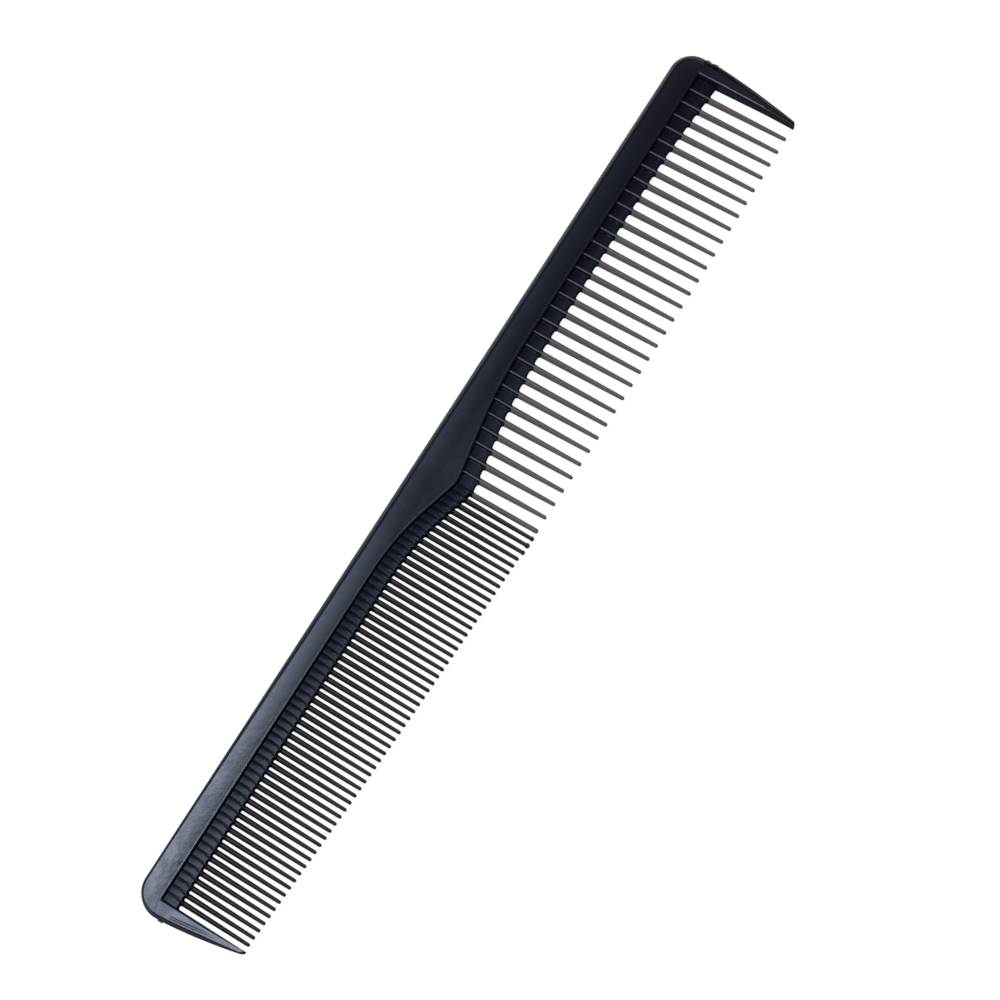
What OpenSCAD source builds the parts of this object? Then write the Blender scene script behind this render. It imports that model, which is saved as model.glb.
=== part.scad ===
// Barber's cutting comb: fine teeth on the -X half, coarse teeth on the +X half.
// The real comb is one moulding. Here each feature of it is its own solid, and
// neighbours meet face to face. The comb lies flat: +X runs along its length to
// the coarse end, +Y points to the back of the spine, and +Z is up. The origin
// is below the middle of the comb, on the surface that it lies on.
//
// Places down the comb are given as a depth: the distance from the back edge
// towards the tips of the teeth.

/* [Overall] */
// Overall length
comb_length = 180; // [175:1:190]
// Overall width, from the back edge to the longest teeth
comb_width = 25.4; // [24.5:0.1:28]
// Thickness of the spine
spine_thickness = 3.8; // [3.6:0.1:4.6]
// Radius of the corner at the fine end
fine_corner_radius = 4.8; // [4.6:0.1:6]
// Radius of the corner at the coarse end
coarse_corner_radius = 4.4; // [4:0.1:4.8]
// Rounding of the outer rim, seen in section
rim_radius = 0.7; // [0.5:0.1:1.3]
// How far the rim leans in from the parting line to the start of its rounding
rim_draft = 0.25; // [0.1:0.05:0.4]

/* [Spine] */
// Depth of the spine over the fine teeth
fine_spine_depth = 4.65; // [4.2:0.05:4.8]
// Depth of the spine over the coarse teeth, next to the dip
coarse_spine_depth = 5.35; // [5:0.05:6]
// Depth of the spine at the coarse end
coarse_end_spine_depth = 4.9; // [4.8:0.05:5.4]
// Where the dip starts to fall from the fine side
fine_dip_start = -21.2; // [-26:0.1:-19]
// Where the dip starts to fall from the coarse side
coarse_dip_start = 27; // [22:0.5:32]
// Radius at the shoulder of the dip on the fine side
fine_dip_radius = 50; // [40:1:55]
// Radius at the shoulder of the dip on the coarse side
coarse_dip_radius = 100; // [80:1:110]
// Steepest slope of the dip on the fine side, in degrees
fine_dip_slope = 16.7; // [14:0.1:18]
// Steepest slope of the dip on the coarse side, in degrees
coarse_dip_slope = 9.4; // [8:0.1:11]
// Place along the comb of the bottom of the dip
dip_x = 0; // [-0.5:0.1:0.2]

/* [Web] */
// Depth of the web, from the spine to the tops of the slots
web_depth = 3; // [2.8:0.05:3.4]
// Thickness of the fine web between the ribs, nearly that of the tooth roots
fine_web_thickness = 1.8; // [1.2:0.1:1.9]
// Thickness of the coarse web between the ribs, and of the guards' inner edges
web_thickness = 1.1; // [0.8:0.1:1.4]
// Extra depth of the last slot at the coarse end
end_fall = 1.2; // [0.5:0.1:1.5]
// Where the slots start to get deeper towards the coarse end
end_fall_start = 63; // [55:1:68]

/* [Fine teeth] */
// Number of fine teeth
fine_count = 59; // [59:1:59]
// Spacing of the fine teeth
fine_pitch = 1.4405; // [1.435:0.0005:1.445]
// Centre of the first fine tooth
fine_first_x = -85.5; // [-85.7:0.01:-85.4]
// Width of a fine tooth at its root
fine_root_width = 1; // [0.8:0.01:1.1]
// Width of a fine tooth near its tip
fine_tip_width = 0.64; // [0.5:0.01:0.7]
// Bead radius on the tips of the last three fine teeth, next to the middle
bead_radii = [0.4, 0.48, 0.41]; // [0.36:0.01:0.5]

/* [Coarse teeth] */
// Number of coarse teeth
coarse_count = 30; // [30:1:30]
// Spacing of the coarse teeth
coarse_pitch = 2.808; // [2.8:0.001:2.815]
// Straight side of the first coarse tooth
coarse_first_x = 2.78; // [2.6:0.01:2.85]
// Width of a coarse tooth at its root
coarse_root_width = 1.2; // [1:0.01:1.3]
// Width of a coarse tooth near its tip
coarse_tip_width = 0.68; // [0.5:0.01:0.8]

/* [All teeth] */
// Thickness of a tooth over its crest at the root
root_thickness = 2; // [1.6:0.1:2.4]
// Thickness of a tooth over its crest near the tip
tip_thickness = 1.1; // [0.8:0.1:1.4]
// Radius of the arc that the tips lie on
tip_arc_radius = 2020; // [1900:10:2200]
// Place along the comb of the longest tooth
longest_tooth_x = 44; // [38:1:50]

/* [End guards] */
// Inner edge of the fine guard
fine_guard_inner_x = -86.7; // [-86.8:0.05:-86.6]
// Inner edge of the coarse guard at its root
coarse_guard_inner_x = 86.25; // [85.8:0.05:86.4]
// Thickness of a guard at its tip
guard_tip_thickness = 2.1; // [1.8:0.1:3.6]
// How far a guard's inner wall leans out between the web and its face
guard_wall_lean = 0.27; // [0.1:0.01:0.5]

/* [Hidden] */
back_y = comb_width / 2;
mid_z = spine_thickness / 2;
half_length = comb_length / 2;
// half the height of the flat land at the widest line of every tooth
parting_land = 0.12;
// width of a tooth's crest as a part of its full width
crest_share = 0.34;
// how far below the slot tops the teeth start, so that the round slot tops belong to the web
root_land = 0.7;
// the slots' corner radius on the coarse side
coarse_slot_radius = 0.4;
// a narrow slot's corner radius as a part of its width
full_round_share = 0.46;
// the odd tooth between the two sets
changeover_x = -0.5;
changeover_root_width = 0.98;
changeover_tip_width = 0.86;
changeover_lean = 0.12;
// how far the odd tooth and the beaded ones reach past the others
long_tip = 0.15;
// a tooth's very end, as parts of its width and thickness near the tip
tip_end_width = 0.12;
tip_end_thickness = 0.3;
// how much a tooth loses of its thickness around the rounding of its tip
tip_thinning = 0.75;
// how far a bead's centre stands back from the end of its tooth, in bead radii
bead_setback = 0.6;
// rounding of the guards' tips, seen in plan
fine_guard_tip_radius = 0.7;
coarse_guard_tip_radius = 0.5;
// narrowest that a guard gets, at its tip
guard_tip_width = 0.3;
// the most that the lean, the rim's rounding and its draft may take of a narrow guard
lean_limit = 0.3;
rim_limit = 0.6;
draft_limit = 0.1;
// rings along a guard
guard_steps = 14;
// lean of the coarse guard's inner edge along its length
coarse_guard_taper = 0.2;
// the guards' outer curve: the depth where it starts, its radius, and its slope there in degrees
fine_guard_curve = [5.7, 100, 5.4];
coarse_guard_curve = [8, 115, 4.6];
// the dip's bottom is rounded over this distance each way
dip_round = 1.4;
// stubs left by the mould: distance that they stand proud, and their length along the edge
gate_reach = 0.2;
gate_length = 0.8;
gate_thickness = 0.8;
fine_gate_depths = [6.1];
coarse_gate_depths = [5.4, 7];
// where the slots of the coarse end reach their extra depth
end_fall_end = half_length - 5;
// a length longer than the comb is wide, and a small overlap, for cutting shapes
far = 40;
margin = 1;
// sides of a full circle on the spine's corners, its rim, the slots and the beads
corner_sides = 96;
rim_sides = 48;
slot_sides = 32;
bead_sides = 24;

function coarse_tooth_name(i) = str("coarse_tooth_", i < 10 ? "0" : "", i);

// ---- Lines that run along the comb, as depths ----

// fall of a circular shoulder that runs on as a straight slope
function shoulder(run, radius, slope) =
    let (arc_run = radius * sin(slope))
    run <= 0 ? 0
    : run <= arc_run ? radius - sqrt(radius * radius - run * run)
    : radius * (1 - cos(slope)) + (run - arc_run) * tan(slope);

// coarse spine depth before the dip, which falls evenly to the end
function coarse_line(x) =
    coarse_spine_depth
    + (coarse_end_spine_depth - coarse_spine_depth) * (x - coarse_dip_start)
      / (half_length - coarse_dip_start);

// depth of the spine's lower edge on each side of the dip
function fine_side_depth(x) =
    fine_spine_depth + shoulder(x - fine_dip_start, fine_dip_radius, fine_dip_slope);
function coarse_side_depth(x) =
    coarse_line(x) + shoulder(coarse_dip_start - x, coarse_dip_radius, coarse_dip_slope);

// the whole lower edge, with the bottom of the dip rounded by a parabola
function spine_depth(x) =
    let (t = (x - dip_x + dip_round) / (2 * dip_round))
    t <= 0 ? fine_side_depth(x)
    : t >= 1 ? coarse_side_depth(x)
    : (1 - t) * (1 - t) * fine_side_depth(dip_x - dip_round)
      + t * (1 - t) * (fine_side_depth(dip_x) + coarse_side_depth(dip_x))
      + t * t * coarse_side_depth(dip_x + dip_round);

// depth of the slot tops
function root_depth(x) =
    let (run = (x - end_fall_start) / (end_fall_end - end_fall_start))
    spine_depth(x) + web_depth + (run > 0 ? end_fall * run * run : 0);

// depth of the tips
function tip_depth(x) =
    comb_width - pow(x - longest_tooth_x, 2) / (2 * tip_arc_radius);

// where the teeth start
function tooth_top(x) = root_depth(x) + root_land;

// how far a guard's outer edge lies inside the end of the comb
function guard_inset(depth, curve) =
    let (run = max(0, depth - curve[0]))
    run * tan(curve[2]) + run * run / (2 * curve[1]);

// stations along the comb where the spine's lower edge needs a point
function spine_stations() = concat(
    [for (i = [0 : 8]) fine_dip_start + fine_dip_radius * sin(fine_dip_slope * i / 8)],
    [for (i = [0 : 6]) dip_x + dip_round * (i - 3) / 3],
    [for (i = [8 : -1 : 0]) coarse_dip_start - coarse_dip_radius * sin(coarse_dip_slope * i / 8)]
);

// ---- Building blocks ----

// a solid through rings of points; each ring has the same number of points
module loft(rings) {
    n = len(rings[0]);
    last = len(rings) - 1;
    sides = [
        for (k = [0 : last - 1], i = [0 : n - 1])
        let (a = k * n + i, b = k * n + (i + 1) % n)
        each [[a, b, b + n], [a, b + n, a + n]]
    ];
    caps = [[for (i = [n - 1 : -1 : 0]) i], [for (i = [0 : n - 1]) last * n + i]];
    polyhedron(points = [for (ring = rings) each ring], faces = concat(sides, caps));
}

// a tooth's section at one depth: wide at the parting line, narrow at the crest
function tooth_section(x, depth, width, thickness) =
    let (w = width / 2, c = width * crest_share / 2, h = thickness / 2, p = min(parting_land, h / 2))
    [for (q = [[w, -p], [w, p], [c, h], [-c, h], [-w, p], [-w, -p], [-c, -h], [c, -h]])
        [x + q[0], back_y - depth, mid_z + q[1]]];

// a free tooth from its root to a rounded tip. The centre line runs from root_x to tip_x.
module tooth(root_x, tip_x, top, bottom, root_width, tip_width) {
    round_r = tip_width / 2;
    straight = bottom - round_r - top;
    loft(concat(
        [tooth_section(root_x, top, root_width, root_thickness)],
        [for (a = [0 : 22.5 : 67.5])
            tooth_section(tip_x, top + straight + round_r * sin(a),
                          tip_width * cos(a), tip_thickness * (1 - tip_thinning * (1 - cos(a))))],
        [tooth_section(tip_x, bottom, tip_width * tip_end_width,
                       tip_thickness * tip_end_thickness)]
    ));
}

// the rib that carries a tooth's root up the web to the spine
module rib(x, width) {
    w = width / 2;
    c = w * crest_share;
    h = root_thickness / 2;
    translate([x, back_y, mid_z])
        rotate([90, 0, 0])
            linear_extrude(height = far)
                polygon([[w, -parting_land], [w, parting_land], [c, h], [-c, h],
                         [-w, parting_land], [-w, -parting_land], [-c, -h], [c, -h]]);
}

// the comb's rim in section, from an inner axis out to the given reach
module rim_section(reach) {
    outer = reach - rim_draft;
    inner = outer - rim_radius;
    shoulder_z = mid_z - rim_radius;
    polygon([[0, -mid_z], [inner, -mid_z], [outer, -shoulder_z], [reach, 0],
             [outer, shoulder_z], [inner, mid_z], [0, mid_z]]);
    for (side = [-1, 1])
        translate([inner, side * shoulder_z])
            circle(r = rim_radius, $fn = rim_sides);
}

// one rounded corner of the spine, as a disc with the rim's section
module corner_disc(x, radius) {
    translate([x, back_y - radius, mid_z])
        rotate_extrude($fn = corner_sides)
            rim_section(radius);
}

// everything below the spine's lower edge, in plan
module below_spine() {
    end = half_length + margin;
    polygon(concat(
        [[-end, back_y - fine_spine_depth]],
        [for (x = spine_stations()) [x, back_y - spine_depth(x)]],
        [[end, back_y - spine_depth(half_length)], [end, -far], [-end, -far]]
    ));
}

// the band of web below the spine, from one place along the comb to another.
// Its lower edge steps from tooth to tooth; teeth is a list of [centre, root width].
module web_band(from_x, to_x, teeth) {
    count = len(teeth);
    between = function(i) (teeth[i][0] + teeth[i + 1][0]) / 2;
    tops = [for (x = spine_stations()) if (x > from_x && x < to_x) [x, back_y - spine_depth(x)]];
    steps = [
        for (i = [count - 1 : -1 : 0])
        let (y = back_y - tooth_top(teeth[i][0]),
             right = i == count - 1 ? to_x : between(i),
             left = i == 0 ? from_x : between(i - 1))
        each [[right, y], [left, y]]
    ];
    polygon(concat([[from_x, back_y - spine_depth(from_x)]], tops,
                   [[to_x, back_y - spine_depth(to_x)]], steps));
}

// a slot between two teeth, open downwards, with rounded top corners
module slot(left_x, right_x, corner) {
    a = left_x + corner;
    b = right_x - corner;
    top_a = back_y - root_depth(a) - corner;
    top_b = back_y - root_depth(b) - corner;
    translate([a, top_a])
        circle(r = corner, $fn = slot_sides);
    translate([b, top_b])
        circle(r = corner, $fn = slot_sides);
    polygon([[left_x, top_a], [a, top_a], [a, top_a + corner], [b, top_b + corner],
             [b, top_b], [right_x, top_b], [right_x, -far], [left_x, -far]]);
}

// a ribbed web with its slots. slots is a list of [left, right, corner radius].
module web(from_x, to_x, thickness, teeth, slots) {
    translate([0, 0, mid_z - thickness / 2])
        linear_extrude(height = thickness)
            difference() {
                web_band(from_x, to_x, teeth);
                for (s = slots)
                    slot(s[0], s[1], s[2]);
            }
    intersection() {
        linear_extrude(height = spine_thickness)
            web_band(from_x, to_x, teeth);
        for (t = teeth)
            rib(t[0], t[1]);
    }
}

// ---- Where the teeth stand: [centre at the root, root width] ----

fine_teeth_at = [for (i = [0 : fine_count - 1]) [fine_first_x + i * fine_pitch, fine_root_width]];
coarse_teeth_at = [
    for (i = [0 : coarse_count - 1])
    [coarse_first_x + i * coarse_pitch - coarse_root_width / 2, coarse_root_width]
];
changeover_at = [changeover_x, changeover_root_width];
// the fine web takes in the odd tooth, and ends at that tooth's far side
web_joint_x = changeover_x + changeover_root_width / 2;

// a narrow slot has a nearly round top, and a wide one has rounded corners
function slot_between(a, b) =
    let (left = a[0] + a[1] / 2, right = b[0] - b[1] / 2)
    [left, right, min(coarse_slot_radius, (right - left) * full_round_share)];

// ---- Sub-parts ----

module spine() {
    fine_x = fine_corner_radius - half_length;
    coarse_x = half_length - coarse_corner_radius;
    reach = comb_width / 2;
    color("#22262e")
        difference() {
            union() {
                corner_disc(fine_x, fine_corner_radius);
                corner_disc(coarse_x, coarse_corner_radius);
                translate([fine_x, back_y - reach, mid_z])
                    rotate([90, 0, 90])
                        linear_extrude(height = coarse_x - fine_x)
                            rim_section(reach);
            }
            translate([0, 0, -margin])
                linear_extrude(height = spine_thickness + 2 * margin)
                    below_spine();
        }
}

module fine_web() {
    teeth = concat(fine_teeth_at, [changeover_at]);
    guard_side = [fine_guard_inner_x, 0];
    edges = concat([guard_side], teeth);
    color("#1b1f27")
        web(fine_guard_inner_x, web_joint_x, fine_web_thickness, teeth,
            [for (i = [0 : len(teeth) - 1]) slot_between(edges[i], edges[i + 1])]);
}

module coarse_web() {
    guard_side = [coarse_guard_inner_x, 0];
    joint_side = [web_joint_x, 0];
    edges = concat([joint_side], coarse_teeth_at, [guard_side]);
    color("#1b1f27")
        web(web_joint_x, coarse_guard_inner_x, web_thickness, coarse_teeth_at,
            [for (i = [0 : len(edges) - 2]) slot_between(edges[i], edges[i + 1])]);
}

module fine_teeth() {
    color("#2b2625")
        for (i = [0 : fine_count - 1]) {
            x = fine_teeth_at[i][0];
            bead = i - (fine_count - len(bead_radii));
            bottom = tip_depth(x) + (bead >= 0 ? long_tip : 0);
            tooth(x, x, tooth_top(x), bottom, fine_root_width, fine_tip_width);
            if (bead >= 0)
                translate([x, back_y - bottom + bead_radii[bead] * bead_setback, mid_z])
                    sphere(r = bead_radii[bead], $fn = bead_sides);
        }
}

module changeover_tooth() {
    color("#2b2625")
        tooth(changeover_x, changeover_x + changeover_lean, tooth_top(changeover_x),
              tip_depth(changeover_x) + long_tip, changeover_root_width, changeover_tip_width);
}

// a coarse tooth keeps its +X side square to the comb and tapers on its -X side
module coarse_tooth(i) {
    side_x = coarse_first_x + (i - 1) * coarse_pitch;
    root_x = side_x - coarse_root_width / 2;
    tip_x = side_x - coarse_tip_width / 2;
    color("#4a4446")
        tooth(root_x, tip_x, tooth_top(root_x), tip_depth(tip_x), coarse_root_width, coarse_tip_width);
}

// a guard's section at one depth. side is -1 at the fine end and 1 at the coarse end.
// It runs from the inner wall's face edge round the rim to the other face edge.
function guard_section(side, depth, inner, outer, thickness) =
    let (h = thickness / 2, w = web_thickness / 2,
         width = max(abs(outer - inner), guard_tip_width),
         lean = min(guard_wall_lean, width * lean_limit),
         r = min(rim_radius, h * rim_limit, (width - lean) * rim_limit),
         draft = min(rim_draft, width * draft_limit),
         // distances out from the inner edge, and heights
         top = concat([[0, w], [lean, h]],
                      [for (a = [90 : -15 : 0])
                          [width - draft - r + r * cos(a), h - r + r * sin(a)]]),
         loop = concat(top, [[width, 0]],
                       [for (i = [len(top) - 1 : -1 : 0]) [top[i][0], -top[i][1]]]))
    [for (q = loop) [inner + side * q[0], back_y - depth, mid_z + q[1]]];

// a guard from the spine down to its rounded tip
module guard(side, top, bottom, root_inner, tip_inner, curve, tip_radius) {
    body_end = bottom - tip_radius;
    // depths, and how much is taken off the outer edge and the thickness there
    stations = concat(
        [for (i = [0 : guard_steps]) [top + (body_end - top) * i / guard_steps, 0]],
        [for (a = [20 : 20 : 80]) [body_end + tip_radius * sin(a), tip_radius * (1 - cos(a))]]
    );
    rings = [
        for (s = stations)
        let (t = (s[0] - top) / (bottom - top),
             inner = root_inner + (tip_inner - root_inner) * t,
             outer = side * (half_length - guard_inset(s[0], curve) - s[1]),
             thickness = spine_thickness + (guard_tip_thickness - spine_thickness) * t - s[1])
        guard_section(side, s[0], inner, outer, thickness)
    ];
    loft(side > 0 ? rings : [for (ring = rings) [for (i = [len(ring) - 1 : -1 : 0]) ring[i]]]);
}

module fine_end_guard() {
    color("#3a4048")
        guard(-1, fine_spine_depth, tip_depth(fine_guard_inner_x),
              fine_guard_inner_x, fine_guard_inner_x, fine_guard_curve, fine_guard_tip_radius);
}

module coarse_end_guard() {
    color("#22262e")
        guard(1, coarse_end_spine_depth, tip_depth(coarse_guard_inner_x),
              coarse_guard_inner_x, coarse_guard_inner_x + coarse_guard_taper,
              coarse_guard_curve, coarse_guard_tip_radius);
}

// a stub on a guard's outer edge
module gate_stub(side, depth, curve) {
    edge_x = side * (half_length - guard_inset(depth, curve));
    translate([edge_x, back_y - depth, mid_z])
        cube([gate_reach * 2, gate_length, gate_thickness], center = true);
}

module fine_gate_mark() {
    color("#22262e")
        difference() {
            for (d = fine_gate_depths)
                gate_stub(-1, d, fine_guard_curve);
            fine_end_guard();
        }
}

module coarse_gate_marks() {
    color("#22262e")
        difference() {
            for (d = coarse_gate_depths)
                gate_stub(1, d, coarse_guard_curve);
            coarse_end_guard();
        }
}

spine();
fine_web();
coarse_web();
fine_end_guard();
coarse_end_guard();
fine_teeth();
changeover_tooth();
fine_gate_mark();
coarse_gate_marks();
for (i = [1 : coarse_count])
    coarse_tooth(i);
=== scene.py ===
import math

import bmesh
import bpy
import numpy as np
from mathutils import Matrix, Vector


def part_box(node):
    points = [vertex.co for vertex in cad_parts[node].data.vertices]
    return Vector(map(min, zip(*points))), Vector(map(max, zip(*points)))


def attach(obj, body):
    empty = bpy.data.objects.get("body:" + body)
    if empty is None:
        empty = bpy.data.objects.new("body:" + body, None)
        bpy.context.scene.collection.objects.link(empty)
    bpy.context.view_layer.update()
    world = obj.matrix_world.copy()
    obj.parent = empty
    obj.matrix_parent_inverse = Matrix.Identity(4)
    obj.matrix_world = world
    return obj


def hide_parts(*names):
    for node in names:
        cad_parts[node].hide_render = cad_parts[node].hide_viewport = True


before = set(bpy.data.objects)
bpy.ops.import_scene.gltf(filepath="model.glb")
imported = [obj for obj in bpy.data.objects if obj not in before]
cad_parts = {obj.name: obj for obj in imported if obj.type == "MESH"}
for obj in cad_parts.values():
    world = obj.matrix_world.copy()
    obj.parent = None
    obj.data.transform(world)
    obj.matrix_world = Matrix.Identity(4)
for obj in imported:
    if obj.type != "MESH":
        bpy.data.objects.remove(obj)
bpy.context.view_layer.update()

MM = 0.001

# ---- Sizes of the details ----

CORNER_FINE = 4.8       # radius of the comb's corner at the fine end, in plan
CORNER_COARSE = 4.4     # and at the coarse end
RIM_WALL = math.radians(10)     # lean of the rim's wall
# radius between that wall and the face, at the fine end and past the middle
RIM_ROUND = (0.55, 1.30)
RIM_LAND = 0.03         # half height of the flat line at the parting plane
FACE_RIM_DROP = 0.03    # the face's height by the rim, below the thickest part
FACE_DISH = (-0.060, 0.078)     # slope of the dished face by the rim, and by the lower edge
GUARD_DISH = 0.040      # the same slope by the lower edge where a guard goes on
PAST_MIDDLE_DISH = 0.03 # how much steeper the other slope is past the middle
DISH_REACH = 3.4        # how far down the face that slope changes
DIP_SLOPE = 0.06        # slope of the face over the dip in the middle
DIP_FROM, DIP_TO = -28, 2       # X over which the face changes at the dip
LOWER_ROUND = 0.26      # rounding of the spine's lower edge
STEP_FOOT = 0.45        # height where the step's wall ends inside the web
WEB_FOOT = 0.16         # fillet of a web where it meets that wall
FINE_WEB_HALF = 0.96    # half thickness of the fine web, nearly flush with the tooth roots
FINE_WEB_BEVEL = 0.14   # rounding of its edge over the slots
FINE_WEB_CROWN = 0.24   # how fast it falls away from its highest line
FINE_SLOT_LIFT = 0.14   # how far its slots reach nearer to the back than the CAD's
COARSE_WEB_HALF = 0.55  # the first three again for the coarse web
COARSE_WEB_BEVEL = 0.16
COARSE_WEB_CROWN = 0.46
SLOT_ROUND = 0.4        # corner radius of a wide slot
SLOT_ROUND_SHARE = 0.46 # corner radius of a narrow one, as a part of its width
TOOTH_LAND = 0.12       # half height of the flat line on a tooth's side
TOOTH_RISE = 0.27       # how far a blade goes on above its CAD top, to the slots' corners
RIDGE = 0.5             # roundness of a tooth's crest, as a part of its half width
LEAST_HALF = 0.015      # least height over the middle plane


# ---- What the CAD says ----

def points(node):
    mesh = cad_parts[node].data
    co = np.empty(len(mesh.vertices) * 3)
    mesh.vertices.foreach_get("co", co)
    return co.reshape(-1, 3) / MM


def extent(node):
    low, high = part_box(node)
    return np.array(low) / MM, np.array(high) / MM


spine_low, spine_high = extent("spine")
MID = (spine_low[2] + spine_high[2]) / 2
HALF = (spine_high[2] - spine_low[2]) / 2
BACK = spine_high[1]
LEFT, RIGHT = spine_low[0], spine_high[0]

# the spine's lower edge, from the CAD's own corners along it
spine_points = points("spine")
inside = spine_points[(np.abs(spine_points[:, 0]) < RIGHT - 2) & (spine_points[:, 1] < BACK - 4)]
edge_x = np.unique(np.round(inside[:, 0], 2))
edge_y = np.array([inside[np.abs(inside[:, 0] - x) < 0.02][:, 1].min() for x in edge_x])
fine_x = np.arange(LEFT - 3, RIGHT + 3, 0.1)
SPREAD = 15     # samples that the smoothing takes the mean of
smooth = np.convolve(np.pad(np.interp(fine_x, edge_x, edge_y), SPREAD // 2, mode="edge"),
                     np.ones(SPREAD) / SPREAD, mode="valid")


def lower_edge(x):
    return np.interp(x, fine_x, smooth)


def tooth_facts(co):
    """A tooth's root and tip, from the rings of the CAD's own tooth."""
    levels = np.unique(np.round(co[:, 1], 3))
    root = co[co[:, 1] > levels[-1] - 0.01]
    ring = co[np.abs(co[:, 1] - levels[-2]) < 0.01]
    return {
        "top": levels[-1], "bottom": levels[0],
        "root_x": (root[:, 0].min() + root[:, 0].max()) / 2,
        "root_w": np.ptp(root[:, 0]), "root_h": np.ptp(root[:, 2]) / 2,
        "tip_x": (ring[:, 0].min() + ring[:, 0].max()) / 2,
        "tip_w": np.ptp(ring[:, 0]), "tip_h": np.ptp(ring[:, 2]) / 2,
        "bead": 0.0,
    }


def split_row(node):
    """The teeth of a node that holds many, one set of points each, from -X to +X."""
    co = points(node)
    co = co[np.argsort(co[:, 0])]
    cuts = np.nonzero(np.diff(co[:, 0]) > 0.4)[0] + 1
    return np.split(co, cuts)


fine_sets = split_row("fine_teeth")
fine_teeth = [tooth_facts(co) for co in fine_sets]
usual = fine_teeth[0]
for tooth, co in zip(fine_teeth, fine_sets):
    end = co[co[:, 1] < tooth["bottom"] + 0.6]
    if np.ptp(end[:, 0]) > usual["tip_w"] + 0.05:
        tooth["bead"] = np.ptp(end[:, 0]) / 2
        tooth.update(tip_x=tooth["root_x"], tip_w=usual["tip_w"], tip_h=usual["tip_h"])
changeover = tooth_facts(points("changeover_tooth"))
coarse_names = sorted(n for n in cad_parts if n.startswith("coarse_tooth_"))
coarse_teeth = [tooth_facts(points(n)) for n in coarse_names]


# ---- Mesh building ----

def make_piece(name, vertices, faces, material, sharp=40):
    """A closed mesh from points in millimetres."""
    mesh = bpy.data.meshes.new(name)
    mesh.from_pydata([tuple(v * MM for v in p) for p in vertices], [], faces)
    work = bmesh.new()
    work.from_mesh(mesh)
    # points that fell together, where an edge's rounding shrinks to nothing
    bmesh.ops.remove_doubles(work, verts=work.verts, dist=2e-8)
    bmesh.ops.recalc_face_normals(work, faces=work.faces)
    work.to_mesh(mesh)
    work.free()
    mesh.polygons.foreach_set("use_smooth", [True] * len(mesh.polygons))
    mesh.set_sharp_from_angle(angle=math.radians(sharp))
    mesh.materials.append(material)
    piece = bpy.data.objects.new(name, mesh)
    bpy.context.scene.collection.objects.link(piece)
    return piece


class Sheet:
    """The upper half of one or more closed shapes, which is mirrored below the middle plane."""

    def __init__(self):
        self.points, self.quads = [], []

    def add(self, x, y, h):
        self.points.append((x, y, min(max(h, LEAST_HALF), HALF)))
        return len(self.points) - 1

    def grid(self, ids):
        for r in range(len(ids) - 1):
            for c in range(len(ids[r]) - 1):
                self.quads.append((ids[r][c], ids[r][c + 1], ids[r + 1][c + 1], ids[r + 1][c]))

    def piece(self, name, material, sharp=40):
        count = len(self.points)
        top = [(x, y, MID + h) for x, y, h in self.points]
        low = [(x, y, MID - h) for x, y, h in self.points]
        faces = list(self.quads)
        faces += [tuple(i + count for i in reversed(q)) for q in self.quads]
        seen = {}
        for q in self.quads:
            for k in range(4):
                a, b = q[k], q[(k + 1) % 4]
                key = (min(a, b), max(a, b))
                seen[key] = None if key in seen else (a, b)
        for edge in seen.values():
            if edge:
                a, b = edge
                faces.append((b, a, a + count, b + count))
        return make_piece(name, top + low, faces, material, sharp)


def ramp(x, a, b):
    t = np.clip((x - a) / (b - a), 0, 1)
    return t * t * (3 - 2 * t)


def soft_max(a, b, k):
    return (a + b + math.sqrt((a - b) ** 2 + k * k)) / 2


def rim_profile(height, x, scale=1.0, steps=9):
    """(distance in from the edge, height) up the rim's wall and round to the face."""
    share = float(ramp(x, LEFT + 2, -8))
    radius = min(RIM_ROUND[0] + (RIM_ROUND[1] - RIM_ROUND[0]) * share, height * 0.75) * scale
    wall_top = height - radius * (1 - math.sin(RIM_WALL))
    foot = math.tan(RIM_WALL) * wall_top * scale
    rows = [(0.0, RIM_LAND), (foot * 0.5, wall_top * 0.5), (foot, wall_top)]
    for k in range(1, steps + 1):
        a = RIM_WALL + (math.pi / 2 - RIM_WALL) * k / steps
        rows.append((foot + radius * (math.cos(RIM_WALL) - math.cos(a)),
                     wall_top + radius * (math.sin(a) - math.sin(RIM_WALL))))
    return rows


# ---- Materials ----

def new_node(tree, kind, **settings):
    made = tree.nodes.new(kind)
    for key, value in settings.items():
        if key in made.inputs:
            made.inputs[key].default_value = value
        else:
            setattr(made, key, value)
    return made


def feed(tree, slot, value):
    """What goes into a node's input: a fixed value, or another node's output."""
    if isinstance(value, bpy.types.NodeSocket):
        tree.links.new(value, slot)
    else:
        slot.default_value = value


def noise(tree, place, **settings):
    made = new_node(tree, "ShaderNodeTexNoise", **settings)
    feed(tree, made.inputs["Vector"], place)
    return made.outputs["Fac"]


def maths(tree, operation, *values):
    made = new_node(tree, "ShaderNodeMath", operation=operation)
    for slot, value in zip(made.inputs, values):
        feed(tree, slot, value)
    return made.outputs[0]


def map_range(tree, source, limits, smooth=False):
    """limits are the range it comes from and, if it isn't 0 to 1, the range it goes to."""
    made = new_node(tree, "ShaderNodeMapRange")
    if smooth:
        made.interpolation_type = "SMOOTHSTEP"
    for key, value in zip(("From Min", "From Max", "To Min", "To Max"), limits):
        made.inputs[key].default_value = value
    feed(tree, made.inputs["Value"], source)
    return made.outputs["Result"]


def mix(tree, factor, first, second, blend_type="MIX"):
    made = new_node(tree, "ShaderNodeMix", data_type="RGBA", blend_type=blend_type)
    # of the node's many inputs, these are the factor and the two colours
    for slot, value in ((0, factor), (6, first), (7, second)):
        feed(tree, made.inputs[slot], value)
    return made.outputs[2]


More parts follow.
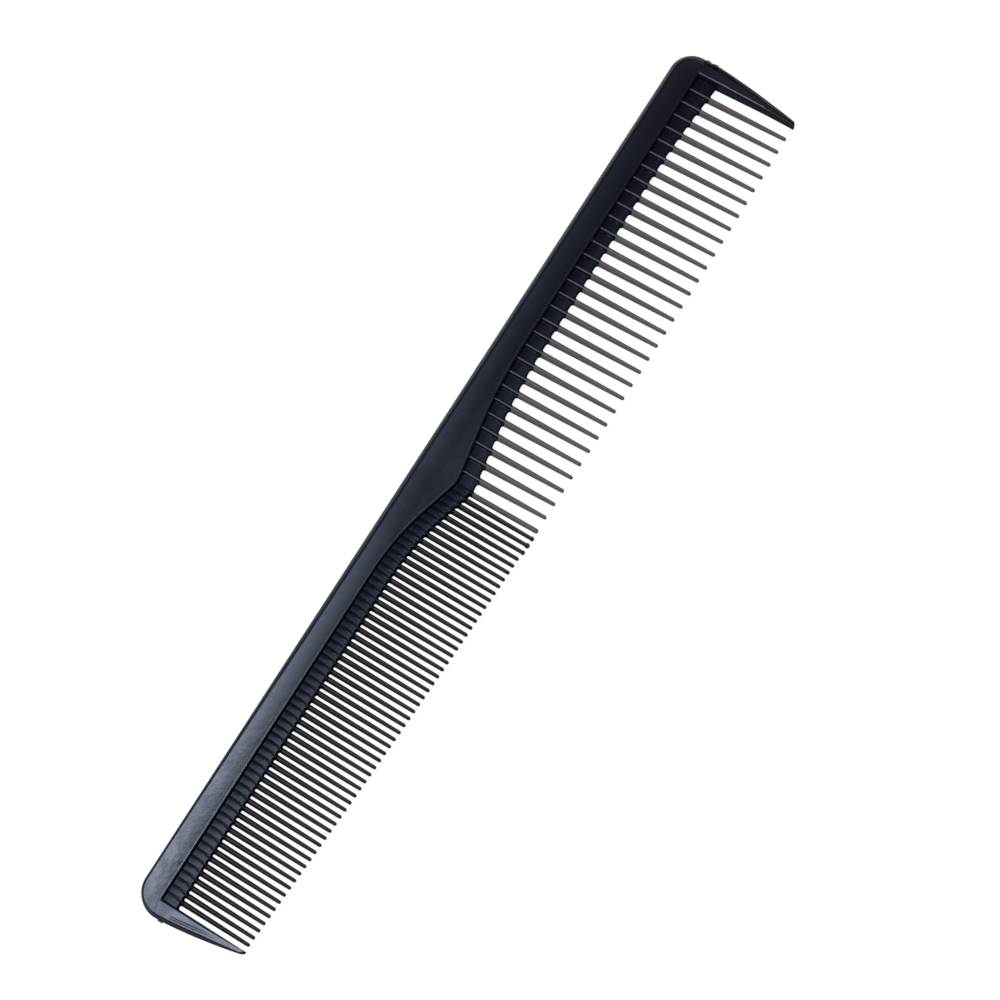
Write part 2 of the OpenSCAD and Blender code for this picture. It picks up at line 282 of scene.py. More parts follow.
def bump(tree, height, depth, under=None):
    made = new_node(tree, "ShaderNodeBump", Strength=1.0, Distance=depth * MM)
    feed(tree, made.inputs["Height"], height)
    if under is not None:
        feed(tree, made.inputs["Normal"], under)
    return made.outputs["Normal"]


# how fine each noise is, in cells per metre
CLOUD_SCALE, FLOW_SCALE, GRAIN_SCALE = 170.0, 620.0, 5200.0
CLOUDY_END = (-0.035, -0.086)   # X, in metres, from which the comb gets cloudier, and up to where
CLOUDY_LEAST = 0.25             # how cloudy the rest is
SCRATCH_TURN = (0, 0, 0.6)
SCRATCH_SCALE = (260, 2400, 600)
SCRATCH_CUT = (0.66, 0.72)      # the part of the noise that shows as scratches


def plastic(name, dark, light, rough, rough_spread, cloud=0.0, grain=0.02, scuff=0.0,
            shine=0.5, crest=None):
    """Satin black plastic: cloudy colour and gloss, a fine moulded grain and small scuffs.

    cloud, grain and scuff are depths in millimetres. crest is a painted highlight: the height
    where its lighter colour starts, the height where it is full, and that colour.
    """
    material = bpy.data.materials.new(name)
    material.use_nodes = True
    tree = material.node_tree
    tree.nodes.clear()
    place = new_node(tree, "ShaderNodeTexCoord").outputs["Object"]
    clouds = noise(tree, place, Scale=CLOUD_SCALE, Detail=4.0, Roughness=0.6)
    flow = noise(tree, place, Scale=FLOW_SCALE, Detail=3.0, Roughness=0.55)
    grains = noise(tree, place, Scale=GRAIN_SCALE, Detail=2.0)

    colour = new_node(tree, "ShaderNodeValToRGB")
    first, second = colour.color_ramp.elements
    first.position, first.color = 0.3, (*dark, 1)
    second.position, second.color = 0.72, (*light, 1)
    feed(tree, colour.inputs["Fac"], clouds)
    shown = colour.outputs["Color"]

    # the handled end is cloudier than the rest
    split = new_node(tree, "ShaderNodeSeparateXYZ")
    feed(tree, split.inputs[0], place)
    end = map_range(tree, split.outputs["X"], (*CLOUDY_END, CLOUDY_LEAST, 1.0), smooth=True)

    if crest:
        # painted highlight: the ribs' crests are painted a lighter colour by their height over
        # the middle plane, standing in for the light they catch
        start, full, grey = crest
        over = maths(tree, "ABSOLUTE", maths(tree, "SUBTRACT", split.outputs["Z"], MID * MM))
        painted_highlight = map_range(tree, over, (start * MM, full * MM), smooth=True)
        shown = mix(tree, painted_highlight, shown, (*grey, 1))

    both = maths(tree, "ADD", clouds, flow)
    gloss = map_range(tree, both, (0.7, 1.3, -1.0, 1.0))
    patch = maths(tree, "MULTIPLY", gloss, end)
    roughness = maths(tree, "MULTIPLY_ADD", patch, rough_spread, rough)

    # low waves of the moulded face, then its grain
    normal = bump(tree, maths(tree, "MULTIPLY", both, end), cloud)
    normal = bump(tree, grains, grain, under=normal)
    if scuff:
        # short scratches: stretched noise, cut to thin lines
        turn = new_node(tree, "ShaderNodeMapping", Rotation=SCRATCH_TURN, Scale=SCRATCH_SCALE)
        feed(tree, turn.inputs["Vector"], place)
        lines = noise(tree, turn.outputs[0], Scale=1.0, Detail=1.0)
        normal = bump(tree, map_range(tree, lines, SCRATCH_CUT), scuff, under=normal)

    shader = new_node(tree, "ShaderNodeBsdfPrincipled", IOR=1.5)
    for key, value in (("Specular IOR Level", shine), ("Base Color", shown),
                       ("Roughness", roughness), ("Normal", normal)):
        feed(tree, shader.inputs[key], value)
    out = new_node(tree, "ShaderNodeOutputMaterial")
    feed(tree, out.inputs["Surface"], shader.outputs[0])
    return material


SPINE = plastic("comb_spine_satin", (0.0015, 0.0025, 0.006), (0.003, 0.0045, 0.010),
                0.33, 0.05, cloud=0.05, grain=0.0012, scuff=0.004)
GUARD = plastic("comb_guard_satin", (0.002, 0.0035, 0.008), (0.004, 0.006, 0.012),
                0.33, 0.04, cloud=0.02, grain=0.0012, scuff=0.003)
WEB = plastic("comb_web_satin", (0.002, 0.0035, 0.008), (0.004, 0.006, 0.013),
              0.34, 0.04, cloud=0.01, grain=0.0015, shine=0.17)
# painted light: the teeth are the same black plastic as the spine, but their colour is lifted to
# a brownish grey, the coarse teeth most, as a painted reflection of the floor and painted crest
# highlights
FINE = plastic("comb_fine_tooth_painted_sheen", (0.029, 0.019, 0.023), (0.044, 0.029, 0.033),
               0.46, 0.04, cloud=0.01, grain=0.0015, shine=0.45)
COARSE = plastic("comb_coarse_tooth_painted_sheen", (0.160, 0.124, 0.104), (0.194, 0.151, 0.125),
                 0.50, 0.04, cloud=0.01, grain=0.0015, shine=0.4)
# the coarse web's rib crests carry a painted highlight, lighter towards their tops
RIBBED = plastic("comb_coarse_web_satin", (0.002, 0.0035, 0.008), (0.004, 0.006, 0.013),
                 0.34, 0.04, cloud=0.01, grain=0.0015, shine=0.25,
                 crest=(0.82, 0.99, (0.120, 0.096, 0.100)))


# ---- Spine ----

STEP_STARTS = extent("fine_end_guard")[1][0] - 0.12
STEP_ENDS = extent("coarse_end_guard")[0][0] + 0.22
FACE_STEPS = (0.02, 0.06, 0.12, 0.2, 0.3, 0.4, 0.5, 0.6, 0.7, 0.8, 0.88, 0.94, 1.0)
CORNER_STEPS = 30       # points round a corner of the outline
CORNER_EASE = 1.3       # how the lower edge's points close up towards an end
END_STEPS = 3           # points on the straight part of the coarse end
LOWER_STEPS = 7         # points round the lower edge


def over_guard(x):
    """Whether the spine runs on into a guard here; elsewhere it ends in a step over the web."""
    return x < STEP_STARTS or x > STEP_ENDS


def near_guard(x):
    """1 where a guard goes on from the spine, fading to 0 along it."""
    return max(1 - ramp(x, LEFT + 3, LEFT + 9), ramp(x, RIGHT - 9, RIGHT - 3))


def face_rises(x, length, steps):
    """How far the dished face has risen at each step, from the rim down to the lower edge.

    A step is a part of the length, which is the way down the face.
    """
    end_slope = FACE_DISH[1] + PAST_MIDDLE_DISH * float(ramp(x, DIP_FROM, DIP_TO))
    end_slope += (GUARD_DISH - end_slope) * near_guard(x)
    reach = min(length, DISH_REACH)
    rises = []
    for u in steps:
        # a slope that changes evenly over the reach, and a steady one over the dip beyond it
        v = min(u * length / max(reach, 1e-6), 1.0)
        rises.append(reach * (FACE_DISH[0] * v + (end_slope - FACE_DISH[0]) * v * v / 2)
                     + DIP_SLOPE * max(u * length - reach, 0.0))
    return rises


def spine_stations():
    """(point on the outline, inward direction, x on the lower edge) round the back."""
    found = []
    # round the corner at the fine end
    rim_in = rim_profile(HALF, LEFT)[-1][0]
    y_end = float(lower_edge(LEFT))
    start = math.asin(max(0.0, (y_end - (BACK - CORNER_FINE)) / CORNER_FINE))
    centre = (LEFT + CORNER_FINE, BACK - CORNER_FINE)
    for k in range(CORNER_STEPS + 1):
        a = start + (math.pi / 2 - start) * k / CORNER_STEPS
        p = (centre[0] - CORNER_FINE * math.cos(a), centre[1] + CORNER_FINE * math.sin(a))
        low_x = LEFT + rim_in + (CORNER_FINE - rim_in) * (k / CORNER_STEPS) ** CORNER_EASE
        found.append((p, (math.cos(a), -math.sin(a)), low_x))
    # along the back, closer over the dip
    x = LEFT + CORNER_FINE
    while x < RIGHT - CORNER_COARSE - 0.8:
        x += 0.5 if -26 < x < 30 else 1.0
        found.append(((x, BACK), (0, -1), x))
    # round the corner at the coarse end, and down that end
    rim_in = rim_profile(HALF, RIGHT)[-1][0]
    centre = (RIGHT - CORNER_COARSE, BACK - CORNER_COARSE)
    straight = centre[1] - float(lower_edge(RIGHT))
    count = CORNER_STEPS + END_STEPS + 1
    for k in range(count):
        if k <= CORNER_STEPS:
            a = math.pi / 2 * k / CORNER_STEPS
            p = (centre[0] + CORNER_COARSE * math.sin(a), centre[1] + CORNER_COARSE * math.cos(a))
            inward = (-math.sin(a), -math.cos(a))
        else:
            p = (RIGHT, centre[1] - straight * (k - CORNER_STEPS) / END_STEPS)
            inward = (-1, 0)
        share = (k + 1) / count
        low_x = centre[0] + (CORNER_COARSE - rim_in) * (1 - (1 - share) ** CORNER_EASE)
        found.append((p, inward, low_x))
    return found


def build_spine():
    sheet = Sheet()
    columns = []
    for (px, py), (nx, ny), low_x in spine_stations():
        low_y = float(lower_edge(low_x))
        size = 0.0 if over_guard(low_x) else LOWER_ROUND
        # the face's rises set the rim's height, and the rim's width sets where the face starts
        rim_in = rim_profile(HALF - FACE_RIM_DROP, px)[-1][0]
        fall = max(py + ny * rim_in, low_y) - low_y - size
        rises = face_rises(low_x, max(fall, 0.0), FACE_STEPS)
        top = HALF - max(FACE_RIM_DROP, rises[-1])
        rim = rim_profile(top, px)
        rim_in = rim[-1][0]
        column = [sheet.add(px + nx * t, max(py + ny * t, low_y), h) for t, h in rim]
        ix, iy = px + nx * rim_in, max(py + ny * rim_in, low_y)
        fall = iy - low_y - size
        for u, rise in zip(FACE_STEPS, rises):
            column.append(sheet.add(ix + (low_x - ix) * u, iy - fall * u, top + rise))
        edge_h = top + rises[-1]
        # the rounded lower edge, then the step's wall
        for k in range(1, LOWER_STEPS + 1):
            a = math.pi / 2 * k / LOWER_STEPS
            column.append(sheet.add(low_x, low_y + size * (1 - math.sin(a)),
                                    edge_h - size * (1 - math.cos(a))))
        for share in (0.5, 1.0):
            column.append(sheet.add(low_x, low_y - 0.0001 * share,
                                    (edge_h - size) + (STEP_FOOT - edge_h + size) * share))
        columns.append(column)
    sheet.grid(columns)
    return sheet.piece("spine_moulding", SPINE, sharp=38)


spine = build_spine()
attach(spine, "root")
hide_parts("spine")


# ---- End guards ----

GUARD_LEVELS = 76       # rows down a guard
GUARD_CORNER = 6.5      # depth below the back where the comb's rounded corner is over
GUARD_LEAST = 0.12      # narrowest that a guard gets
GUARD_FULL = 2.2        # width from which the edges' roundings have their full size
GUARD_LEAN = 0.27       # lean of the wall on the side of the teeth
GUARD_INNER_ROUND = {-1: 0.14, 1: 0.38}     # rounding of that wall's edge, at either end
GUARD_RISE = (0.03, 2.6)        # slope that goes on down from the spine, and how far
GUARD_FALL = (0.0515, 2.9, 0.35)        # slope to the tip, where it starts, and how softly
TIP_SHRINK = 0.08       # how much thinner the rounded tip gets
GROOVE_IN = 1.22        # the groove's distance in from the outer edge
GROOVE_WIDTH = 0.2
GROOVE_SPOTS = (-0.5, -0.38, -0.28, -0.19, -0.1, 0, 0.1, 0.19, 0.28, 0.38)


def build_guard(name, node, side, tip_round, groove):
    """An end guard: side is -1 at the fine end and 1 at the coarse one."""
    sheet = Sheet()
    co = points(node)
    low, high = extent(node)
    top_y, tip_y = high[1], low[1]
    # the outer and inner edges, level by level, as the CAD has them at the parting plane
    near = co[np.abs(co[:, 2] - MID) < 0.02]
    outer_y = np.unique(np.round(near[:, 1], 3))
    outer_x = np.array([(side * near[np.abs(near[:, 1] - y) < 0.01][:, 0]).max()
                        for y in outer_y])
    inner = co[np.abs(np.abs(co[:, 2] - MID) - COARSE_WEB_HALF) < 0.02]
    inner_y = np.unique(np.round(inner[:, 1], 3))
    inner_x = np.array([(side * inner[np.abs(inner[:, 1] - y) < 0.01][:, 0]).min()
                        for y in inner_y])
    # an even curve through the levels, but for the comb's corner and the rounded tip
    levels = list(np.linspace(top_y, tip_y + tip_round, GUARD_LEVELS))
    levels += [tip_y + tip_round * (1 - math.sin(math.radians(a))) for a in range(10, 90, 10)]
    body = (outer_y > tip_y + tip_round - 0.02) & (outer_y < BACK - GUARD_CORNER)
    poly = np.polyfit(outer_y[body] - top_y, outer_x[body], 2)
    start = BACK - top_y
    join = HALF - FACE_RIM_DROP + (FACE_DISH[0] + GUARD_DISH) / 2 * DISH_REACH
    fall_slope, fall_from, fall_soft = GUARD_FALL
    rows = []
    for y in levels:
        over = max(0.0, tip_y + tip_round - y)
        shrink = tip_round - math.sqrt(max(tip_round ** 2 - over ** 2, 0.0))
        depth = BACK - y
        if depth < GUARD_CORNER or over > 0:
            xo = float(np.interp(y, outer_y, outer_x))
        else:
            xo = float(np.polyval(poly, y - top_y))
        xi = float(np.interp(y, inner_y, inner_x))
        width = max(xo - xi, GUARD_LEAST)
        # the face keeps its height a little way down, then thins to the tip
        rise = GUARD_RISE[0] * min(depth - start, GUARD_RISE[1])
        past = (depth - start - fall_from) / fall_soft
        fall = fall_slope * (math.log1p(math.exp(past)) * fall_soft)
        half = min(join + rise - fall, HALF) - shrink * TIP_SHRINK
        k = min(1.0, width / GUARD_FULL)
        inner_round = GUARD_INNER_ROUND[side] * k
        lean = GUARD_LEAN * k
        section = [(0.0, TOOTH_LAND), (lean * 0.3, half * 0.3), (lean * 0.65, half * 0.65)]
        for a in (0, 30, 60, 90):
            section.append((lean + inner_round * (1 - math.cos(math.radians(a))) - 0.02 * k,
                            half - inner_round * (1 - math.sin(math.radians(a)))))
        rim = rim_profile(half, side * xo, scale=k)
        mark = width - GROOVE_IN * k
        near_mark = [mark + o * k for o in GROOVE_SPOTS]
        plain = list(np.linspace(section[-1][0], near_mark[0], 8)[1:-1])
        # the groove starts under the corner and fades down the guard
        groove_here = groove * k * float(ramp(depth, 6.6, 8.2) * (1 - 0.75 * ramp(depth, 11, 18)))
        row = [sheet.add(side * (xi + s), y, h) for s, h in section]
        for s in plain + near_mark:
            dent = groove_here * math.exp(-((s - mark) / (GROOVE_WIDTH * k)) ** 2)
            row.append(sheet.add(side * (xi + s), y, half - dent))
        for t, h in reversed(rim):
            row.append(sheet.add(side * (xi + width - t), y, h))
        rows.append(row)
    sheet.grid(rows)
    return sheet.piece(name, GUARD, sharp=50)


fine_guard = build_guard("fine_end_guard_blade", "fine_end_guard", -1,
                         tip_round=0.7, groove=0.055)
coarse_guard = build_guard("coarse_end_guard_blade", "coarse_end_guard", 1,
                           tip_round=0.5, groove=0.0)
for piece, node in ((fine_guard, "fine_end_guard"), (coarse_guard, "coarse_end_guard")):
    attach(piece, "root")
    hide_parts(node)


# ---- Teeth ----

def ridge(u):
    """A tooth's height across it, from 1 on the crest to 0 at its side."""
    full = math.sqrt(1 + RIDGE * RIDGE) - RIDGE
    return 1 - (math.sqrt(u * u + RIDGE * RIDGE) - RIDGE) / full


def both_sides(left):
    return left + [0] + [-u for u in reversed(left)]


# the columns of points across a tooth, in half widths from its middle
ACROSS = both_sides([-1, -0.9, -0.76, -0.6, -0.44, -0.3, -0.18, -0.08])
# the same on a web, closer where a rib's side meets the panel
ON_WEB = both_sides([-1, -0.9, -0.76, -0.67, -0.63, -0.6, -0.52, -0.44, -0.3, -0.18, -0.08])
TIP_ANGLES = (15, 30, 45, 58, 70, 80, 87)       # rows round a tooth's tip
TIP_THIN = 0.75         # how much of its height a tooth loses round the tip


def add_tooth(sheet, tooth):
    """One tooth's blade, root to tip, with a bead at its tip if it has one."""
    length = tooth["top"] - tooth["bottom"]
    tip = tooth["tip_w"] / 2
    straight = length - tip
    rows = [(-TOOTH_RISE, 0.0)] + [(straight * s, 0.0) for s in np.linspace(0, 1, 13)]
    rows += [(straight + tip * math.sin(math.radians(a)), a) for a in TIP_ANGLES]
    bead = tooth["bead"]
    if bead:
        rows = [r for r in rows if r[0] < length - 2 * bead]
        rows += [(length - bead + bead * math.sin(math.radians(a)), a)
                 for a in range(-70, 88, 12)]
    grid = []
    for run, a in rows:
        t = min(max(run / straight, 0.0), 1.0)
        x = tooth["root_x"] + (tooth["tip_x"] - tooth["root_x"]) * t
        w = tooth["root_w"] + (tooth["tip_w"] - tooth["root_w"]) * t
        h = tooth["root_h"] + (tooth["tip_h"] - tooth["root_h"]) * t
        if bead:
            off = run - (length - bead)
            ball = math.sqrt(max(bead * bead - off * off, 0.0))
            if off > 0:
                w, h = 2 * ball, ball
            else:
                w, h = max(w, 2 * ball), max(h, ball)
        elif a:
            w *= math.cos(math.radians(a))
            h *= 1 - TIP_THIN * (1 - math.cos(math.radians(a)))
        land = min(TOOTH_LAND, h * 0.5)
        y = tooth["top"] - run
        grid.append([sheet.add(x + u * w / 2, y, land + (h - land) * ridge(u))
                     for u in ACROSS])
    sheet.grid(grid)


fine_sheet = Sheet()
for tooth in fine_teeth:
    add_tooth(fine_sheet, tooth)
fine_row = fine_sheet.piece("fine_tooth_row", FINE, sharp=60)
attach(fine_row, "root")
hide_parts("fine_teeth")

odd_sheet = Sheet()
add_tooth(odd_sheet, changeover)
odd = odd_sheet.piece("changeover_tooth_blade", COARSE, sharp=60)
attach(odd, "root")
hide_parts("changeover_tooth")

for name, tooth in zip(coarse_names, coarse_teeth):
    sheet = Sheet()
    add_tooth(sheet, tooth)
    blade = sheet.piece(name + "_blade", COARSE, sharp=60)
    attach(blade, "root")
    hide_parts(name)


# ---- Webs ----

# columns across a slot, as parts of its width, and rows under the spine and over a slot
WIDE_SLOT = 1.2
WIDE_COLUMNS = (0, 0.02, 0.06, 0.12, 0.2, 0.35, 0.5, 0.65, 0.8, 0.88, 0.94, 0.98, 1)
NARROW_COLUMNS = (0, 0.03, 0.1, 0.22, 0.36, 0.5, 0.64, 0.78, 0.9, 0.97, 1)
ROWS_UNDER_SPINE = (0, 0.04, 0.09, 0.15, 0.28, 0.5)
ROWS_OVER_SLOT = (0.55, 0.4, 0.3, 0.22, 0.15, 0.09, 0.04, 0.0)
PANEL_ENDS = 0.12       # part of the way down to a blade where the panel has ended
TAIL_ROWS = (0.04, 0.08, PANEL_ENDS, 0.3, 0.6, 1.0)

CROWN_DEPTH, CROWN_LINE = 3.0, 0.45     # a web's depth, and its highest line as a part of it
RIB_BLEND = 0.02        # how softly a rib meets the panel
RIBS_SHOW = (1.2, 3.1)  # depth over which the ribs come out of a flush web
FLUSH_END = (-0.10, 0.03)       # where a flush web ends, from the level of the slots' tops

# a wave of a flush web, in distances from a tooth's middle
WAVE_SHIFT = 0.25
WAVE_FROM, WAVE_TO = -0.42, 0.45
WAVE_BEND, WAVE_DEPTH, WAVE_STEP = 0.15, 0.1135, 1.03


def find_slots(node, sides, lift):
    """(left, right, corner radius, height of the left corner, and of the right one) of the
    voids between the teeth."""
    co = points(node)
    slots = []
    for left, right in zip(sides[0::2], sides[1::2]):
        gap = right - left
        if gap < 0.1:
            continue
        middle = (left + right) / 2
        here = co[(co[:, 0] > left - 0.01) & (co[:, 0] < right + 0.01)]
        here = here[here[:, 1] < lower_edge(middle) - 1.5]
        lefts = here[here[:, 0] <= middle]
        rights = here[here[:, 0] >= middle]
        top_l = lefts[:, 1].max() if len(lefts) else here[:, 1].max()
        top_r = rights[:, 1].max() if len(rights) else here[:, 1].max()
        slots.append((left, right, min(SLOT_ROUND, gap * SLOT_ROUND_SHARE),
                      top_l + lift, top_r + lift))
    return slots


def round_centre(slot, x):
    """The middle of the slot's rounded end, where it is nearest to x."""
    left, right, r, top_l, top_r = slot
    a, b = left + r, right - r
    cx = min(max(x, a), b)
    share = (cx - a) / max(b - a, 1e-6)
    return cx, top_l + (top_r - top_l) * share - r


def slot_edge(slot, x):
    cx, cy = round_centre(slot, x)
    r = slot[2]
    return cy + math.sqrt(max(r * r - (x - cx) ** 2, 0.0))


def rows_between(top, bottom):
    middle = np.linspace(ROWS_UNDER_SPINE[-1], (top - bottom) - ROWS_OVER_SLOT[0], 5)[1:-1]
    return ([top - v for v in ROWS_UNDER_SPINE] + [top - v for v in middle]
            + [bottom + v for v in ROWS_OVER_SLOT])


def build_web(name, node, teeth, half, bevel, crown, flush, lift, material):
    """The panel under the spine with the teeth's roots on it as ribs.

    A flush web is as thick as the roots, so it has low waves in place of ribs.
    """
    sheet = Sheet()
    low, high = extent(node)
    sides = [low[0]]
    for t in teeth:
        sides += [t["root_x"] - t["root_w"] / 2, t["root_x"] + t["root_w"] / 2]
    sides.append(high[0])
    slots = find_slots(node, sides, lift)

    def slot_from(x):
        return next((s for s in slots if abs(s[0] - x) < 1e-6), None)

    def void_distance(x, y):
        best = 9.0
        for slot in slots:
            left, right, r = slot[:3]
            if x < left - 1 or x > right + 1:
                continue
            cx, cy = round_centre(slot, x)
            if y > cy:
                d = math.hypot(x - cx, y - cy) - r
            else:
                d = max(left - x, x - right, 0.0)
            best = min(best, d)
        return max(best, 0.0)

    def rib_height(x):
        best = 0.0
        for t in teeth:
            u = abs(x - t["root_x"]) / (t["root_w"] / 2)
            if u <= 1:
                best = TOOTH_LAND + (t["root_h"] - TOOTH_LAND) * ridge(u)
        return best

    def wave(x):
        """A flat rise, a rounded fall over the tooth, then a short step up."""
        t = min(teeth, key=lambda t: abs(x - t["root_x"] + WAVE_SHIFT))
        u = x - t["root_x"]
        if u < WAVE_FROM:
            return 0.0
        if u < WAVE_TO:
            return -WAVE_BEND * (u - WAVE_FROM) ** 2
        return min(-WAVE_DEPTH + WAVE_STEP * (u - WAVE_TO), 0.0)

    def height(x, y, fade=1.0):
        """The web's height; fade takes the panel away and leaves the rib."""
        over = min(void_distance(x, y) / bevel, 1.0)
        edge = math.sqrt(max(1 - (1 - over) ** 2, 0.0))
        drop = lower_edge(x) - y
        fallen = crown * (drop / CROWN_DEPTH - CROWN_LINE) ** 2
        panel = TOOTH_LAND + (half - fallen - TOOTH_LAND) * edge * fade
        if drop < WEB_FOOT:
            panel += WEB_FOOT - math.sqrt(max(WEB_FOOT ** 2 - (WEB_FOOT - drop) ** 2, 0.0))
        rib = rib_height(x)
        full = soft_max(panel, rib, RIB_BLEND * fade) if rib else panel
        if not flush:
            return full
        waved = panel + wave(x) * edge * fade
        rise = float(ramp(drop, *RIBS_SHOW)) if fade == 1.0 else 1.0
        return waved + (max(full, waved) - waved) * rise

    columns = []

    def add_over_slot(slot):
        left, right = slot[:2]
        gap = right - left
        for share in WIDE_COLUMNS if gap > WIDE_SLOT else NARROW_COLUMNS:
            x = left + gap * share
            columns.append([sheet.add(x, y, height(x, y))
                            for y in rows_between(float(lower_edge(x)), slot_edge(slot, x))])

    def add_over_tooth(t, slot, left_x):
        """The web over a tooth, and the rib that goes on down to its blade."""
        next_slot = slot_from(t["root_x"] + t["root_w"] / 2)
        y_left = slot_edge(slot, left_x) if slot else None
        y_right = slot_edge(next_slot, next_slot[0]) if next_slot else y_left
        # a flush web ends straight across the tooth, level with the tops of the slots beside it
        tops = ([slot[4]] if slot else []) + ([next_slot[3]] if next_slot else [])
        level = sum(tops) / len(tops)
        rib = []
        for i, u in enumerate(ON_WEB):
            x = t["root_x"] + u * t["root_w"] / 2
            edge = y_left + (y_right - y_left) * (u + 1) / 2
            if i > 0:
                column = []
                for y in rows_between(float(lower_edge(x)), edge):
                    fade = 1.0
                    if flush:
                        fade = float(ramp(y, level + FLUSH_END[0], level + FLUSH_END[1]))
                    column.append(sheet.add(x, y, height(x, y, fade)))
                columns.append(column)
            tail = [columns[-1][-1]]
            # the panel ends close under the slots' tops, and the rib's own section goes on
            for share in TAIL_ROWS:
                y = edge + (t["top"] + TOOTH_RISE - edge) * share
                fade = 0.0 if flush else max(1 - share / PANEL_ENDS, 0.0)
                tail.append(sheet.add(x, y, height(x, y, fade)))
            rib.append(tail)
        sheet.grid(rib)

    for k, (left, right) in enumerate(zip(sides[0::2], sides[1::2])):
        slot = slot_from(left)
        if slot:
            add_over_slot(slot)
        if k < len(teeth):
            add_over_tooth(teeth[k], slot, right)

    # drop the doubled column where a slot starts on a tooth's side
    merged = [columns[0]]
    for column in columns[1:]:
        a, b = sheet.points[merged[-1][0]], sheet.points[column[0]]
        if abs(a[0] - b[0]) < 1e-6:
            relabel = dict(zip(column, merged[-1]))
            sheet.quads = [tuple(relabel.get(i, i) for i in q) for q in sheet.quads]
            continue
        merged.append(column)
    sheet.grid(merged)
    return sheet.piece(name, material, sharp=50 if flush else 28)


fine_web = build_web(
    "fine_web_panel", "fine_web", fine_teeth + [changeover], FINE_WEB_HALF, FINE_WEB_BEVEL,
    FINE_WEB_CROWN, flush=True, lift=FINE_SLOT_LIFT, material=WEB)
coarse_web = build_web(
    "coarse_web_panel", "coarse_web", coarse_teeth, COARSE_WEB_HALF, COARSE_WEB_BEVEL,
    COARSE_WEB_CROWN, flush=False, lift=0.0, material=RIBBED)
for piece, node in ((fine_web, "fine_web"), (coarse_web, "coarse_web")):
    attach(piece, "root")
    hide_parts(node)

# the mould's gate marks keep their CAD shape
for node in ("fine_gate_mark", "coarse_gate_marks"):
    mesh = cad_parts[node].data
    mesh.materials.clear()
    mesh.materials.append(WEB)


# ---- Stage ----

FLOOR_HALF, FLOOR_STEPS = 3.0, 8        # the floor's half size in metres, and its squares a side
FLOOR_Z = -0.00002      # just below the comb, so that the two don't share a plane


def stage_floor():
    """A white sheet under the comb that glows evenly."""
    mesh = bpy.data.meshes.new("studio_floor")
    across = FLOOR_STEPS + 1
    vertices = [(-FLOOR_HALF + 2 * FLOOR_HALF * i / FLOOR_STEPS,
                 -FLOOR_HALF + 2 * FLOOR_HALF * j / FLOOR_STEPS, FLOOR_Z)
                for j in range(across) for i in range(across)]
    faces = [(j * across + i, j * across + i + 1, (j + 1) * across + i + 1, (j + 1) * across + i)
             for j in range(FLOOR_STEPS) for i in range(FLOOR_STEPS)]
    mesh.from_pydata(vertices, [], faces)
    floor = bpy.data.objects.new("studio_floor", mesh)
    bpy.context.scene.collection.objects.link(floor)
    material = bpy.data.materials.new("studio_floor_paper")
    material.use_nodes = True
    tree = material.node_tree
    tree.nodes.clear()
    glow = new_node(tree, "ShaderNodeEmission", Color=(1, 1, 1, 1), Strength=0.93)
    matt = new_node(tree, "ShaderNodeBsdfDiffuse", Color=(0.16, 0.16, 0.16, 1))
    both = new_node(tree, "ShaderNodeAddShader")
    feed(tree, both.inputs[0], glow.outputs[0])
    feed(tree, both.inputs[1], matt.outputs[0])
    out = new_node(tree, "ShaderNodeOutputMaterial")
    feed(tree, out.inputs["Surface"], both.outputs[0])
    mesh.materials.append(material)
    # the plastic reflects the dim room and not this white sheet
    floor.visible_glossy = False
    floor.visible_diffuse = False


stage_floor()

# a room that is dark overhead and pale round the horizon, with a dark band over the comb's
# middle, and dimmer on the side of the teeth
world = bpy.data.worlds.new("studio")
bpy.context.scene.world = world
world.use_nodes = True
tree = world.node_tree
tree.nodes.clear()
direction = new_node(tree, "ShaderNodeTexCoord")
parts = new_node(tree, "ShaderNodeSeparateXYZ")
feed(tree, parts.inputs[0], direction.outputs["Generated"])


def direction_ramp(axis, stops):
    """A colour for each height of the direction along one axis; 0 to 1 stands for -1 to 1."""
    colours = new_node(tree, "ShaderNodeValToRGB")
    colours.color_ramp.interpolation = "EASE"
    ends = colours.color_ramp.elements
    while len(ends) < len(stops):
        ends.new(0.5)
    for end, (position, colour) in zip(ends, stops):
        end.position = position
        end.color = (*colour, 1)
    feed(tree, colours.inputs["Fac"], map_range(tree, parts.outputs[axis], (-1.0, 1.0)))
    return colours.outputs["Color"]


by_height = direction_ramp("Z", (
    (0.0, (0.04, 0.04, 0.045)), (0.30, (0.34, 0.34, 0.35)), (0.48, (0.85, 0.85, 0.85)),
    (0.60, (0.70, 0.70, 0.72)), (0.71, (0.34, 0.34, 0.36)), (0.85, (0.012, 0.016, 0.03))))
by_length = direction_ramp("X", (
    (0.0, (1.0, 0.97, 0.97)), (0.35, (0.80, 0.79, 0.79)), (0.49, (0.28, 0.28, 0.29)),
    (0.60, (1.0, 0.96, 0.95)), (1.0, (0.85, 0.77, 0.75))))
by_side = direction_ramp("Y", (
    (0.0, (0.26, 0.26, 0.26)), (0.40, (0.28, 0.28, 0.28)), (0.62, (0.60, 0.60, 0.60)),
    (0.88, (1.0, 1.0, 1.0))))
blend = mix(tree, 1.0, by_height, by_length, "MULTIPLY")
blend = mix(tree, 1.0, blend, by_side, "MULTIPLY")
sky = new_node(tree, "ShaderNodeBackground", Strength=2.2)
feed(tree, sky.inputs["Color"], blend)
out = new_node(tree, "ShaderNodeOutputWorld")
feed(tree, out.inputs["Surface"], sky.outputs[0])


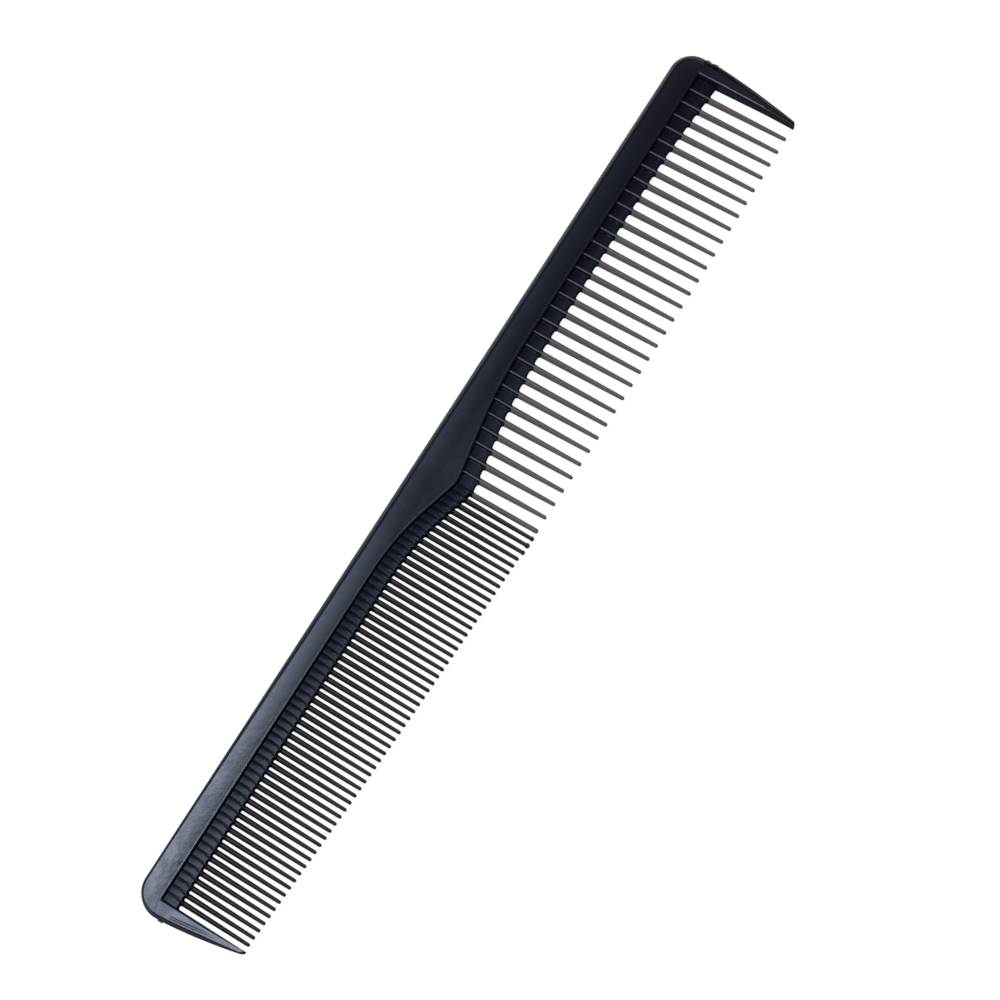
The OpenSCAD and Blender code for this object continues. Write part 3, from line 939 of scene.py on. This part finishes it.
def softbox(name, place, aim, width, height, power, colour):
    """A rectangular area light at place, in metres, turned towards aim."""
    data = bpy.data.lights.new(name, "AREA")
    data.shape = "RECTANGLE"
    data.size, data.size_y = width, height
    data.energy = power
    data.color = colour
    lamp = bpy.data.objects.new(name, data)
    bpy.context.scene.collection.objects.link(lamp)
    lamp.location = place
    lamp.rotation_euler = (Vector(aim) - Vector(place)).to_track_quat("-Z", "Y").to_euler()


LIGHT_HEIGHT = 0.434
COOL, WARM = (0.60, 0.92, 1.40), (1.05, 0.95, 1.00)

softbox("key_softbox", place=(-0.100, 0.060, LIGHT_HEIGHT), aim=(-0.06, 0.0, 0.0),
        width=0.15, height=0.15, power=1.0, colour=(0.83, 0.92, 1.14))
# weaker ones along the comb, fading towards the coarse end
for x, power, tint in ((-0.04, 0.15, COOL), (0.12, 0.046, COOL),
                       (0.20, 0.011, WARM), (0.28, 0.007, WARM)):
    softbox("fill_softbox", place=(x, 0.020, LIGHT_HEIGHT), aim=(x, 0.020, 0.0),
            width=0.08, height=0.06, power=power, colour=tint)
softbox("end_softbox", place=(0.42, 0.05, 0.24), aim=(0.02, 0.0, 0.0),
        width=0.22, height=0.22, power=0.22, colour=(1.0, 0.93, 0.90))

# ---- Camera ----

camera_data = bpy.data.cameras.new("camera")
camera_data.lens = 93.6
camera_data.sensor_width = 36.0
camera_data.clip_start = 0.01
camera = bpy.data.objects.new("camera", camera_data)
bpy.context.scene.collection.objects.link(camera)
# the comb's own axes as a level camera sees them, then the roll that stands it on the slant
level_x = Vector((0.98151, -0.04779, 0.18536))
level_y = Vector((0.00677, 0.97639, 0.21591))
back = Vector((-0.19130, -0.21066, 0.95866))
roll = math.radians(57.07)
across = math.cos(roll) * level_x - math.sin(roll) * level_y
upward = math.sin(roll) * level_x + math.cos(roll) * level_y
turn = Matrix((across, upward, back)).transposed().to_4x4()
camera.matrix_world = Matrix.Translation((-0.08488, -0.0984, 0.4331)) @ turn
bpy.context.scene.camera = camera

view = bpy.context.scene.view_settings
view.view_transform = "Standard"
view.look = "None"
view.exposure = 0.0
view.gamma = 1.0
